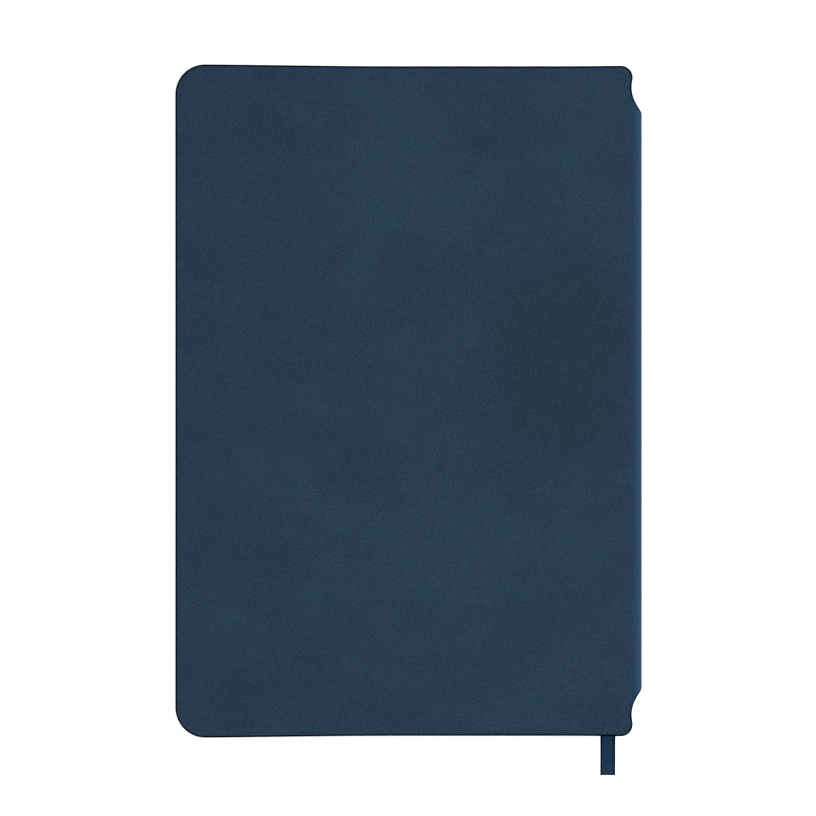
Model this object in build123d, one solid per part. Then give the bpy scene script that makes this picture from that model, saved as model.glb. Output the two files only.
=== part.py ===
from build123d import *
import math
import os

# A soft-covered pilot logbook lying closed on its front cover.
# X runs from the fore edge (-) to the spine (+), Y from tail (-) to head (+), Z up.
# The origin is the centre of the front cover's outer face. All sizes are in millimetres.

# Cover
cover_width = 146.1
cover_height = 210.0
cover_corner_radius = 9.4
skin_thickness = 0.9
board_thickness = 0.45
pastedown_thickness = 0.15
joint_radius = 3.1
pastedown_joint_inset = 0.6

# Notches at the head and tail of the spine, and the tabs beside them
notch_drop = 6.7
notch_bite = 0.1
tab_radius = 3.76

# Leaves and signatures
leaf_thickness = 0.117
flyleaf_thickness = 0.15
leaves_per_signature = 8
signature_count = 12
free_leaf_count = 3
square = 3.0
leaf_corner_radius = 6.4
fold_roundness = 0.42
cover_clearance = 0.3

# Back of the block, from the folds outwards
mull_thickness = 0.3
mull_end_inset = 8.5
lining_thickness = 0.2
lining_end_inset = 1.0
hollow_gap = 1.8
spine_strip_thickness = 0.6
spine_strip_clearance = 0.3
thread_diameter = 0.3
thread_end_inset = 7.4
band_bead_radius = 0.7
band_tape_length = 6.0
band_tape_thickness = 0.3

# Ribbon marker
ribbon_width = 4.5
ribbon_thickness = 0.3
ribbon_spine_inset = 10.6
ribbon_tail_length = 12.3
ribbon_tab_length = 13.0
ribbon_clearance = 0.05
ribbon_straight_tail = 2.0
ribbon_droop_angle = 18.0

# Endpaper hinges, which loop across the hollow from the lining to each pastedown
loop_radius = 0.9
loop_lean = 40.0
loop_run = 0.5
loop_foot_radius = 1.0
loop_foot_length = 1.4
loop_end_clearance = 0.5

# Hinge axes
cover_axis_drop = 2.3
leaf_axis_drop = 0.03
leaf_swing_clearance = 0.15

# Worked-out heights
cover_thickness = skin_thickness + board_thickness + pastedown_thickness
loose_stack = flyleaf_thickness + free_leaf_count * leaf_thickness
full_signature = leaves_per_signature * leaf_thickness
end_signature = (leaves_per_signature - free_leaf_count) * leaf_thickness
block_thickness = 2 * flyleaf_thickness + signature_count * full_signature
book_thickness = block_thickness + 2 * (cover_thickness + cover_clearance)
middle_z = book_thickness / 2
sewn_top = book_thickness - cover_thickness - cover_clearance - loose_stack
sewn_bottom = book_thickness - sewn_top

# Worked-out places along X and Y
spine_x = cover_width / 2
fore_x = -spine_x
flat_end_x = spine_x - joint_radius
head_y = cover_height / 2
leaf_head_y = head_y - square
leaf_fore_x = fore_x + square
tab_outer_x = spine_x - skin_thickness - spine_strip_thickness - hollow_gap
lining_outer_x = tab_outer_x - ribbon_thickness
mull_outer_x = lining_outer_x - lining_thickness
fold_x = mull_outer_x - mull_thickness
pastedown_end_x = flat_end_x - pastedown_joint_inset
ribbon_x = spine_x - ribbon_spine_inset
ribbon_top = middle_z - ribbon_clearance

# The cover is cut flat and then wrapped. Along the wrap, distances run from the middle of the spine.
spine_flat = book_thickness - 2 * joint_radius
joint_length = math.pi / 2 * joint_radius
flat_end_wrap = spine_flat / 2 + joint_length
notch_radius = flat_end_wrap + notch_bite
notch_y = head_y - notch_drop
notch_x = flat_end_x + flat_end_wrap
notch_floor_y = notch_y - notch_radius
tab_y = head_y - tab_radius
tab_x = notch_x - math.sqrt((notch_radius + tab_radius) ** 2 - (tab_y - notch_y) ** 2)

# Hinge axes, parallel to Y. The front ones mirror these about the middle of the thickness.
cover_axis = (spine_x - cover_thickness / 2, book_thickness - cover_axis_drop)
leaf_axis = (fold_x, sewn_top - leaf_axis_drop)
backing_top = leaf_axis[1] - leaf_axis_drop - loose_stack - leaf_swing_clearance
backing_width = 2 * (backing_top - middle_z)


def polar(centre, radius, degrees):
    """A point on a circle."""
    turn = math.radians(degrees)
    return centre[0] + radius * math.cos(turn), centre[1] + radius * math.sin(turn)


def to_front(piece):
    """Mirrors a piece of the back cover's side to the front cover's side."""
    return mirror(piece, about=Plane.XY.offset(middle_z))


def to_tail(piece):
    """Mirrors a piece at the head to the tail."""
    return mirror(piece, about=Plane.XZ)


def slab(face, bottom, thickness):
    """A flat sheet with the outline of a face, lying at a height."""
    return Pos(0, 0, bottom) * extrude(face, thickness)


def block_between(low, high):
    """A box given by two opposite corners."""
    size = [b - a for a, b in zip(low, high)]
    return Pos(*low) * Box(*size, align=(Align.MIN, Align.MIN, Align.MIN))


def cover_face():
    """The flat part of one cover, with rounded fore-edge corners and a tab above and below each notch."""
    corner = (fore_x + cover_corner_radius, head_y - cover_corner_radius)
    tab_slope = math.degrees(math.atan2(notch_y - tab_y, notch_x - tab_x))
    tab_foot = polar((tab_x, tab_y), tab_radius, tab_slope)
    bite = (notch_x - notch_radius, notch_y)
    joint_top = (flat_end_x, notch_y - math.sqrt(notch_radius**2 - flat_end_wrap**2))
    half = Curve() + [
        Line((fore_x, 0), (fore_x, corner[1])),
        ThreePointArc((fore_x, corner[1]), polar(corner, cover_corner_radius, 135), (corner[0], head_y)),
        Line((corner[0], head_y), (tab_x, head_y)),
        ThreePointArc((tab_x, head_y), polar((tab_x, tab_y), tab_radius, (90 + tab_slope) / 2), tab_foot),
        ThreePointArc(tab_foot, bite, joint_top),
        Line(joint_top, (flat_end_x, 0)),
    ]
    return make_face(half + mirror(half, about=Plane.XZ))


def sheet_face(end_x, corner_radius):
    """A leaf's outline, which runs from the spine side to the fore edge, where its corners are rounded."""
    width = end_x - leaf_fore_x
    face = Pos(leaf_fore_x + width / 2, 0) * Rectangle(width, 2 * leaf_head_y)
    return fillet(face.vertices().sort_by(Axis.X)[:2], corner_radius)


def spine_skin():
    """The upright wall of the cover, with a round notch in its head and its tail."""
    wall = block_between(
        (spine_x - skin_thickness, -notch_y, joint_radius),
        (spine_x, notch_y, book_thickness - joint_radius),
    )
    cutter = Pos(spine_x, notch_y, middle_z) * Rot(0, 90, 0) * Cylinder(notch_radius, 4 * skin_thickness)
    return wall - cutter - to_tail(cutter)


def joint_skin():
    """The quarter-round strip of skin between the spine and the back cover, cut to the same notches."""
    centre_z = book_thickness - joint_radius
    ring = Plane.XZ * (Circle(joint_radius) - Circle(joint_radius - skin_thickness))
    quarter = Plane.XZ * (Pos(joint_radius / 2, joint_radius / 2) * Rectangle(joint_radius, joint_radius))
    strip = extrude(ring & quarter, notch_y, both=True)

    # The notch's edge, followed along the strip's outer surface and seen square to its middle
    edge_points = []
    edge_steps = 8
    for step in range(edge_steps + 1):
        turn = math.pi / 2 * step / edge_steps
        wrap = spine_flat / 2 + joint_radius * turn
        across = joint_radius * math.sin(math.pi / 4 - turn)
        edge_points.append((across, notch_y - math.sqrt(notch_radius**2 - wrap**2)))
    beyond = notch_y + notch_radius
    first, last = edge_points[0], edge_points[-1]
    outline = Curve() + [
        Spline(*edge_points),
        Line(last, (last[0] - joint_radius, last[1])),
        Line((last[0] - joint_radius, last[1]), (last[0] - joint_radius, beyond)),
        Line((last[0] - joint_radius, beyond), (first[0] + joint_radius, beyond)),
        Line((first[0] + joint_radius, beyond), (first[0] + joint_radius, first[1])),
        Line((first[0] + joint_radius, first[1]), first),
    ]
    square_on = Plane(origin=(0, 0, 0), x_dir=(1, 0, -1), z_dir=(-1, 0, -1))
    cutter = extrude(square_on * make_face(outline), 2 * joint_radius, both=True)
    return Pos(flat_end_x, 0, centre_z) * (strip - cutter - to_tail(cutter))


def signature(bottom, thickness):
    """One sewn section of leaves, folded along its spine side."""
    body = slab(sheet_face(fold_x, leaf_corner_radius), bottom, thickness)
    folds = body.edges().filter_by(Axis.Y).sort_by(Axis.X)[-2:]
    return fillet(folds, fold_roundness * thickness)


def signatures():
    """All the sections from the front, with the ribbon's pressed channel in the one below the middle."""
    sections = []
    bottom = sewn_bottom
    for number in range(signature_count):
        at_end = number in (0, signature_count - 1)
        thickness = end_signature if at_end else full_signature
        sections.append(signature(bottom, thickness))
        bottom += thickness
    marked = signature_count // 2 - 1
    half_width = ribbon_width / 2 + ribbon_clearance
    channel = block_between(
        (ribbon_x - half_width, -head_y, ribbon_top - ribbon_thickness - ribbon_clearance),
        (ribbon_x + half_width, head_y, ribbon_top + ribbon_clearance),
    )
    sections[marked] -= channel
    return sections


def backing_sheet(inner_x, thickness, half_length):
    """A strip glued along the back of the block."""
    return block_between(
        (inner_x, -half_length, middle_z - backing_width / 2),
        (inner_x + thickness, half_length, middle_z + backing_width / 2),
    )


def head_band():
    """A corded bead on the head of the block, with the tape that is glued down its back."""
    bead = (fold_x - band_bead_radius, leaf_head_y + band_bead_radius)
    bead_top = leaf_head_y + 2 * band_bead_radius
    tape_outer_x = fold_x + band_tape_thickness
    shoulder_foot = bead[1] - band_tape_thickness
    shoulder = Rectangle(tape_outer_x - bead[0], bead_top - shoulder_foot)
    tape_height = bead_top - leaf_head_y + band_tape_length
    profile = Pos(*bead) * Circle(band_bead_radius)
    profile += Pos((bead[0] + tape_outer_x) / 2, (bead_top + shoulder_foot) / 2) * shoulder
    profile += Pos(fold_x + band_tape_thickness / 2, bead_top - tape_height / 2) * Rectangle(
        band_tape_thickness, tape_height
    )
    return slab(profile, middle_z - backing_width / 2, backing_width)


def sewing_thread():
    """The two rows of link stitches across the folds, beyond the ends of the mull."""
    row = Cylinder(thread_diameter / 2, backing_width)
    row = Pos(fold_x + thread_diameter / 2, leaf_head_y - thread_end_inset, middle_z) * row
    return Compound(children=[row, to_tail(row)])


def ribbon_marker():
    """A flat ribbon, glued to the back, folded over the head band and laid through the leaves."""
    half_width = ribbon_width / 2
    bottom = ribbon_top - ribbon_thickness
    over_y = leaf_head_y + 2 * band_bead_radius + ribbon_clearance
    side_z = bottom + ribbon_width
    tab = block_between(
        (lining_outer_x, leaf_head_y - ribbon_tab_length, bottom),
        (tab_outer_x, over_y + ribbon_thickness, side_z),
    )
    inner_x, outer_x = ribbon_x - half_width, ribbon_x + half_width
    low_corner, high_corner = (inner_x, bottom), (outer_x, side_z)
    over = Polygon(low_corner, high_corner, (tab_outer_x, side_z), (tab_outer_x, bottom), align=None)
    doubled = Polygon(low_corner, high_corner, (outer_x, bottom), align=None)
    across = Plane((0, over_y + ribbon_thickness, 0), x_dir=(1, 0, 0), z_dir=(0, -1, 0))
    fold = extrude(across * over, ribbon_thickness) + extrude(across * doubled, -ribbon_thickness)

    # The run lies straight until it is past the leaves, and its tail droops in one arc
    middle_height = bottom + ribbon_thickness / 2
    droop_y = -leaf_head_y - ribbon_straight_tail
    droop_run = ribbon_tail_length + square - ribbon_straight_tail
    droop_radius = droop_run / math.sin(math.radians(ribbon_droop_angle))
    straight = Line((0, over_y + ribbon_thickness, middle_height), (0, droop_y, middle_height))
    droop = Plane.YZ * CenterArc((0, 0), droop_radius, 90, ribbon_droop_angle)
    droop = Pos(0, droop_y, middle_height - droop_radius) * droop
    start = Plane(straight @ 0, x_dir=(1, 0, 0), z_dir=straight % 0)
    section = start * Rectangle(ribbon_width, ribbon_thickness)
    run = Pos(ribbon_x, 0, 0) * sweep(section, path=Curve() + [straight, droop])
    return tab + fold + run


def endpaper_hinge():
    """The loop of endpaper that carries the block from the back cover."""
    top_z = book_thickness - skin_thickness - board_thickness - pastedown_thickness / 2
    centre = (pastedown_end_x + loop_run, top_z - loop_radius)
    turn_end = polar(centre, loop_radius, -loop_lean)
    foot_x = lining_outer_x + pastedown_thickness / 2
    lean = math.radians(loop_lean)
    slant = (turn_end[0] - foot_x - loop_foot_radius * (1 - math.cos(lean))) / math.sin(lean)
    slant_end = (turn_end[0] - slant * math.sin(lean), turn_end[1] - slant * math.cos(lean))
    foot_centre = (foot_x + loop_foot_radius, slant_end[1] - loop_foot_radius * math.sin(lean))
    foot_top = (foot_x, foot_centre[1])
    path = Curve() + [
        Line((pastedown_end_x, top_z), (centre[0], top_z)),
        ThreePointArc((centre[0], top_z), polar(centre, loop_radius, 45 - loop_lean / 2), turn_end),
        Line(turn_end, slant_end),
        ThreePointArc(slant_end, polar(foot_centre, loop_foot_radius, 180 - loop_lean / 2), foot_top),
        Line(foot_top, (foot_x, foot_top[1] - loop_foot_length)),
    ]
    path = Plane((0, 0, 0), x_dir=(1, 0, 0), z_dir=(0, -1, 0)) * path
    length = 2 * (notch_floor_y - loop_end_clearance)
    section = Plane(path @ 0, x_dir=(0, 1, 0), z_dir=path % 0) * Rectangle(length, pastedown_thickness)
    return sweep(section, path=path)


# Every piece by name. Those of the front cover's side are mirrored from the back cover's side.
pieces = {}
for number, section in enumerate(signatures(), start=1):
    pieces[f"signature_{number:02d}"] = section

pieces["spine_skin"] = spine_skin()
strip_half_length = notch_floor_y - spine_strip_clearance
strip_end_z = joint_radius + spine_strip_clearance
pieces["spine_strip"] = block_between(
    (spine_x - skin_thickness - spine_strip_thickness, -strip_half_length, strip_end_z),
    (spine_x - skin_thickness, strip_half_length, book_thickness - strip_end_z),
)
pieces["spine_mull"] = backing_sheet(fold_x, mull_thickness, leaf_head_y - mull_end_inset)
pieces["spine_lining"] = backing_sheet(mull_outer_x, lining_thickness, leaf_head_y - lining_end_inset)
pieces["head_band"] = head_band()
pieces["tail_band"] = to_tail(pieces["head_band"])
pieces["sewing_thread"] = sewing_thread()
pieces["ribbon_marker"] = ribbon_marker()

back_side = {"joint_skin": joint_skin(), "endpaper_hinge": endpaper_hinge()}
top = book_thickness
for name, thickness in (("skin", skin_thickness), ("board", board_thickness)):
    top -= thickness
    back_side[name] = slab(cover_face(), top, thickness)
top -= pastedown_thickness
back_side["pastedown"] = slab(sheet_face(pastedown_end_x, leaf_corner_radius), top, pastedown_thickness)
top -= cover_clearance + flyleaf_thickness
back_side["flyleaf"] = slab(sheet_face(fold_x, leaf_corner_radius), top, flyleaf_thickness)
for number in range(1, free_leaf_count + 1):
    top -= leaf_thickness
    back_side[f"leaf_{number}"] = slab(sheet_face(fold_x, leaf_corner_radius), top, leaf_thickness)

for name, piece in back_side.items():
    pieces[f"back_{name}"] = piece
    pieces[f"front_{name}"] = to_front(piece)

os.makedirs("parts", exist_ok=True)
for name, piece in pieces.items():
    export_step(piece, f"parts/{name}.step")

print(f"book thickness {book_thickness:.3f}, notch radius {notch_radius:.3f}")
print(f"cover axis {cover_axis[0]:.3f} {cover_axis[1]:.3f}, leaf axis {leaf_axis[0]:.3f} {leaf_axis[1]:.3f}")
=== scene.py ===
"""The looks of a soft-covered pilot logbook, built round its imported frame."""

import logging
import math
import random
from dataclasses import dataclass, field
from enum import Enum
from typing import Sequence

import bpy
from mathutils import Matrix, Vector, noise
from mathutils.geometry import delaunay_2d_cdt


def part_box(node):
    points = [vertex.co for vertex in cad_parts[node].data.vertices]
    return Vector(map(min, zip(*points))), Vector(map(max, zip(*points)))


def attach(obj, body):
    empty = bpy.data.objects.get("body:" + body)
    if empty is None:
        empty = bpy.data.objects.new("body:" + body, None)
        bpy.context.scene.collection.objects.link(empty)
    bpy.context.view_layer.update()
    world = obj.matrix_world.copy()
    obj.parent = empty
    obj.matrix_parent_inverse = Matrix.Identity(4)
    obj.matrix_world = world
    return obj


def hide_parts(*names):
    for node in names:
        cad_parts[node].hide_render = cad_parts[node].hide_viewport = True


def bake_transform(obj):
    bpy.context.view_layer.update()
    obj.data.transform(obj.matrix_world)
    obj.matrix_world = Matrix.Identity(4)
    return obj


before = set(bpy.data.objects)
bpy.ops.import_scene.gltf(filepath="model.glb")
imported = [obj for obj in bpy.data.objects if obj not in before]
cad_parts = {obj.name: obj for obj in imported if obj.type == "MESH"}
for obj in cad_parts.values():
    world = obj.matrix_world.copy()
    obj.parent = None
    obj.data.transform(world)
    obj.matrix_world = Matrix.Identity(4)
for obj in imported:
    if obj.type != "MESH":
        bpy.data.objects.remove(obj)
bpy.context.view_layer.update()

log = logging.getLogger("logbook")

Flat = tuple[float, float]
Point = tuple[float, float, float]
Colour = tuple[float, float, float]

MM = 0.001
SECTION_COUNT = 12
SQUARE = 3.0 * MM
RIBBON_WIDTH = 4.5 * MM
RIBBON_THICKNESS = 0.3 * MM
RIBBON_CLEARANCE = 0.05 * MM
RIBBON_INSET = 10.6 * MM


# ---------------------------------------------------------------- shader tools


class Value:
    """A number that varies over a surface, which Python's arithmetic works on."""

    def __init__(self, shader: "Shader", socket: bpy.types.NodeSocket) -> None:
        """Wraps one output socket of a shader's node tree.

        Args:
            shader: the shader that the number belongs to.
            socket: the socket that gives it.
        """
        self.shader = shader
        self.socket = socket

    def math(
        self, operation: str, *others: "Value | float", first: "Value | float | None" = None
    ) -> "Value":
        """Adds one Math node.

        Args:
            operation: the Math node's operation.
            others: what follows this value in the node's inputs.
            first: what comes before this value, for the reflected operators.

        Returns:
            The node's result.
        """
        terms = ([] if first is None else [first]) + [self, *others]
        made = self.shader.node("ShaderNodeMath", {"operation": operation}, dict(enumerate(terms)))
        return Value(self.shader, made.outputs[0])

    def __add__(self, other: "Value | float") -> "Value":
        """Sum."""
        return self.math("ADD", other)

    __radd__ = __add__

    def __sub__(self, other: "Value | float") -> "Value":
        """Difference."""
        return self.math("SUBTRACT", other)

    def __rsub__(self, other: float) -> "Value":
        """Difference from a number."""
        return self.math("SUBTRACT", first=other)

    def __mul__(self, other: "Value | float") -> "Value":
        """Product."""
        return self.math("MULTIPLY", other)

    def __truediv__(self, other: "Value | float") -> "Value":
        """Quotient."""
        return self.math("DIVIDE", other)

    def __abs__(self) -> "Value":
        """Size without its sign."""
        return self.math("ABSOLUTE")

    def __lt__(self, other: "Value | float") -> "Value":
        """1 where this is less, else 0."""
        return self.math("LESS_THAN", other)

    def __gt__(self, other: "Value | float") -> "Value":
        """1 where this is more, else 0."""
        return self.math("GREATER_THAN", other)

    def __mod__(self, other: float) -> "Value":
        """What is left after whole steps, never negative."""
        return self.math("FLOORED_MODULO", other)

    def most(self, other: "Value | float") -> "Value":
        """The larger of two."""
        return self.math("MAXIMUM", other)

    def ridges(self, pitch: float) -> "Value":
        """Straight ridges that far apart, 1 along their crests and 0 between."""
        return abs((self % pitch) / pitch - 0.5) * 2

    def ramp(self, low: float, high: float) -> "Value":
        """A smooth step.

        Args:
            low: where it is 0.
            high: where it is 1.

        Returns:
            The step.
        """
        made = self.shader.node(
            "ShaderNodeMapRange",
            {"interpolation_type": "SMOOTHSTEP"},
            {"Value": self, "From Min": low, "From Max": high},
        )
        return Value(self.shader, made.outputs[0])


class Shader:
    """One material's node tree, in which one method makes every node."""

    def __init__(self, name: str) -> None:
        """Starts an empty material.

        Args:
            name: the material's name.
        """
        self.material = bpy.data.materials.new(name)
        self.material.use_nodes = True
        self.tree = self.material.node_tree
        self.tree.nodes.clear()

    def node(self, kind: str, settings: dict | None = None, inputs: dict | None = None) -> bpy.types.Node:
        """Adds a node.

        Args:
            kind: the node's type.
            settings: its own settings, set before its sockets.
            inputs: a value or a link for each input, by name or number.

        Returns:
            The new node.
        """
        made = self.tree.nodes.new(kind)
        for key, value in (settings or {}).items():
            setattr(made, key, value)
        for key, value in (inputs or {}).items():
            if isinstance(value, Value):
                value = value.socket
            if isinstance(value, bpy.types.NodeSocket):
                self.tree.links.new(value, made.inputs[key])
            else:
                made.inputs[key].default_value = value
        return made

    def attribute(self, name: str) -> bpy.types.Node:
        """The node that reads one of a mesh's own attributes."""
        return self.node("ShaderNodeAttribute", {"attribute_name": name})

    def number(self, name: str) -> Value:
        """A mesh attribute that holds one number."""
        return Value(self, self.attribute(name).outputs["Fac"])

    def lie(self) -> bpy.types.NodeSocket:
        """Where a point lies on its sheet before it is wrapped or turned, in metres."""
        return self.attribute("lie").outputs["Vector"]

    def own_place(self) -> bpy.types.NodeSocket:
        """A point's place in its own object."""
        return self.node("ShaderNodeTexCoord").outputs["Object"]

    def parts(self, vector: bpy.types.NodeSocket) -> tuple[Value, Value, Value]:
        """A vector's three numbers."""
        split = self.node("ShaderNodeSeparateXYZ", None, {0: vector})
        return tuple(Value(self, socket) for socket in split.outputs)

    def stretched(self, vector: bpy.types.NodeSocket, scale: Point) -> bpy.types.NodeSocket:
        """A vector with each part multiplied."""
        made = self.node("ShaderNodeVectorMath", {"operation": "MULTIPLY"}, {0: vector, 1: scale})
        return made.outputs[0]

    def noise(
        self, place: bpy.types.NodeSocket, size: float, detail: float = 2.0, rough: float = 0.5
    ) -> Value:
        """Cloudy noise.

        Args:
            place: where it is read.
            size: about how wide its blotches are, in metres.
            detail: how many finer layers it has.
            rough: how strong each finer layer is.

        Returns:
            The noise, which is 0.5 on average.
        """
        settings = {"Vector": place, "Scale": 1 / size, "Detail": detail, "Roughness": rough}
        made = self.node("ShaderNodeTexNoise", None, settings)
        return Value(self, made.outputs["Fac"])

    def mix(
        self, share: Value, first: "Colour | bpy.types.NodeSocket", second: Colour
    ) -> bpy.types.NodeSocket:
        """A colour between two.

        Args:
            share: how much of the second shows.
            first: the colour where share is 0.
            second: the colour where share is 1.

        Returns:
            The mixed colour.
        """
        ends = [end if isinstance(end, bpy.types.NodeSocket) else (*end, 1.0) for end in (first, second)]
        made = self.node("ShaderNodeMix", {"data_type": "RGBA"}, {0: share, 6: ends[0], 7: ends[1]})
        return made.outputs[2]

    def warped(self, place: bpy.types.NodeSocket, size: float, reach: float) -> bpy.types.NodeSocket:
        """A place pushed about by noise.

        Args:
            place: the place.
            size: about how wide the noise's blotches are, in metres.
            reach: about how far it pushes, in metres.

        Returns:
            The place after the push.
        """
        push = self.node("ShaderNodeTexNoise", None, {"Vector": place, "Scale": 1 / size, "Detail": 2.0})
        scaled = self.stretched(push.outputs["Color"], (reach, reach, reach))
        made = self.node("ShaderNodeVectorMath", {"operation": "ADD"}, {0: place, 1: scaled})
        return made.outputs[0]

    def bump(self, height: Value, depth: float) -> bpy.types.NodeSocket:
        """A normal from a height that runs from 0 to 1 over that depth in metres."""
        return self.node("ShaderNodeBump", None, {"Height": height, "Distance": depth}).outputs[0]

    def principled(self, **inputs: object) -> bpy.types.NodeSocket:
        """One Principled surface, its sockets given with _ for each space in a name."""
        named = {key.replace("_", " "): value for key, value in inputs.items()}
        return self.node("ShaderNodeBsdfPrincipled", None, named).outputs[0]

    def surface(self, **inputs: object) -> bpy.types.Material:
        """Ends the tree in one Principled surface and returns the finished material."""
        return self.finished(self.principled(**inputs))

    def finished(self, surface: bpy.types.NodeSocket) -> bpy.types.Material:
        """Ends the tree in that surface and returns the finished material."""
        self.node("ShaderNodeOutputMaterial", None, {0: surface})
        return self.material


# -------------------------------------------------------------------- finishes


@dataclass(frozen=True)
class DyePatch:
    """A broad soft patch where the dye took more or less, placed on the cover's unfolded blank."""

    wrap: float
    y: float
    half_width: float
    half_height: float
    warmth: float


@dataclass(frozen=True)
class Leatherette:
    """Soft-touch navy leatherette: a fine pebbled grain, cloudy dye, a dark painted cut edge, and painted
    shade, highlights and sheen.
    """

    cool: Colour = (0.0156, 0.0472, 0.0906)
    plum: Colour = (0.0198, 0.0444, 0.0906)
    warm: Colour = (0.0130, 0.0352, 0.0625)
    # painted shade for the grain's hollows and painted highlight for its crowns
    crease: Colour = (0.0010, 0.0060, 0.0160)
    painted_crown_highlight: Colour = (0.0520, 0.0880, 0.1400)
    # painted highlight for the joint's rounding
    painted_spine_highlight: Colour = (0.0100, 0.0480, 0.1200)
    # painted sheen for the flat spine: a greyer haze in place of reflection
    painted_spine_sheen: Colour = (0.0290, 0.0360, 0.0430)
    paint: Colour = (0.0, 0.0008, 0.0050)
    halo: Colour = (0.0080, 0.0370, 0.0760)
    backing: Colour = (0.010, 0.012, 0.016)
    patches: tuple[DyePatch, ...] = (
        DyePatch(32 * MM, 16 * MM, 30 * MM, 44 * MM, 0.60),
        DyePatch(146 * MM, 62 * MM, 26 * MM, 62 * MM, 0.10),
        DyePatch(128 * MM, -98 * MM, 34 * MM, 26 * MM, -0.06),
        DyePatch(74 * MM, -50 * MM, 46 * MM, 34 * MM, -0.42),
        DyePatch(78 * MM, 66 * MM, 38 * MM, 22 * MM, -0.32),
        DyePatch(112 * MM, -12 * MM, 30 * MM, 20 * MM, -0.14),
    )
    patch_raggedness: float = 1.3
    cloud_size: float = 26 * MM
    base_warmth: float = 0.44
    cloud_warmth: float = 1.6
    small_cloud_warmth: float = 0.6
    grain_size: float = 0.62 * MM
    grain_depth: float = 0.25 * MM
    warp_size: float = 1.4 * MM
    warp_reach: float = 0.3 * MM
    wrinkle_width: float = 0.15
    wrinkle_height: float = 0.36
    pore_size: float = 0.52
    pore_height: float = 1.22
    grain_sink: float = 0.075
    crease_level: float = 0.72
    painted_crown_highlight_level: float = 0.76
    crease_fade: float = 0.60
    face_depth: float = 0.6 * MM
    paint_width: float = 0.48 * MM
    paint_fade: float = 0.10 * MM
    halo_width: float = 1.05 * MM
    flat_end: float = 4.6 * MM
    turn_start: float = 5.6 * MM
    turn_middle: float = 7.8 * MM
    turn_end: float = 10.8 * MM
    spine_highlight_share: float = 0.56
    spine_sheen_share: float = 0.46
    halo_share: float = 0.55

    def patchwork(self, s: Shader, clouds: Value) -> Value:
        """The patches' own part of the dye's warmth, with their outlines roughened by the clouds.

        Args:
            s: the shader that they are drawn in.
            clouds: the dye's broad clouds.

        Returns:
            How much warmer the patches make the dye.
        """
        wrap, y, _ = s.parts(s.lie())
        total = clouds * 0.0
        for patch in self.patches:
            across, along = (wrap - patch.wrap) / patch.half_width, (y - patch.y) / patch.half_height
            spread = across * across + along * along + (clouds - 0.5) * self.patch_raggedness
            total = total + (1 - spread.ramp(0.0, 1.0)) * patch.warmth
        return total

    def material(self) -> bpy.types.Material:
        """Builds the material.

        Returns:
            The finished material.
        """
        s = Shader("navy_leatherette")
        lie = s.lie()
        depth = s.parts(lie)[2]
        clouds = s.noise(s.stretched(lie, (0.75, 1.0, 1.0)), self.cloud_size, 3.0, 0.6)
        small_clouds = s.noise(s.stretched(lie, (0.6, 1.0, 1.0)), self.cloud_size / 4, 1.5, 0.6)
        warmth = self.base_warmth + (clouds - 0.5) * self.cloud_warmth
        warmth = warmth + (small_clouds - 0.5) * self.small_cloud_warmth + self.patchwork(s, clouds)
        hue = s.noise(lie, self.cloud_size / 4, 2.0, 0.5)
        dye = s.mix(warmth.most(0.0), s.mix(hue.ramp(0.40, 0.60), self.cool, self.plum), self.warm)

        pushed = s.warped(lie, self.warp_size, self.warp_reach)
        wrinkles = abs(s.noise(pushed, self.grain_size, 1.0, 0.5) - 0.5).ramp(0.0, self.wrinkle_width)
        pores = s.noise(lie, self.grain_size * self.pore_size, 1.0, 0.7)
        height = wrinkles * self.wrinkle_height + pores * self.pore_height - self.grain_sink
        # Painted shade in the grain's hollows and painted highlight on its crowns, set by the grain's
        # height; from here on dye also carries painted light.
        dye = s.mix((self.crease_level - height).ramp(0.0, self.crease_fade), dye, self.crease)
        dye = s.mix((height - self.painted_crown_highlight_level).ramp(0.0, self.crease_fade), dye, self.painted_crown_highlight)

        # Painted highlight: a brighter, bluer band on the joint's rounding, where the spine-side light would
        # catch it.
        wrap = abs(s.parts(lie)[0])
        on_turn = wrap.ramp(self.flat_end, self.turn_start)
        off_turn = 1 - wrap.ramp(self.turn_middle, self.turn_end)
        dye = s.mix(on_turn * off_turn * self.spine_highlight_share, dye, self.painted_spine_highlight)
        # Painted sheen: a greyer colour on the flat spine, in place of the reflection haze that the top
        # gets.
        dye = s.mix((1 - on_turn) * self.spine_sheen_share, dye, self.painted_spine_sheen)
        edge = s.number("edge")
        near_edge = 1 - edge.ramp(self.paint_width, self.halo_width)
        dye = s.mix(near_edge * self.halo_share, dye, self.halo)
        dye = s.mix(depth > self.face_depth, dye, self.backing)
        skin = s.principled(
            Base_Color=dye, Roughness=0.60 + (pores - 0.5) * 0.24, Normal=s.bump(height, self.grain_depth),
            Specular_IOR_Level=0.12,
        )
        matt = s.principled(
            Base_Color=s.mix(pores * 0.1, self.paint, self.backing), Roughness=0.9 + (pores - 0.5) * 0.1,
            Specular_IOR_Level=0.0,
        )
        painted = 1 - edge.ramp(self.paint_width, self.paint_width + self.paint_fade)
        both = s.node("ShaderNodeMixShader", None, {0: painted, 1: skin, 2: matt})
        return s.finished(both.outputs[0])


class PaperSide(Enum):
    """What is printed on a sheet."""

    RULED = "ruled"
    PLAIN = "plain"


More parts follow.
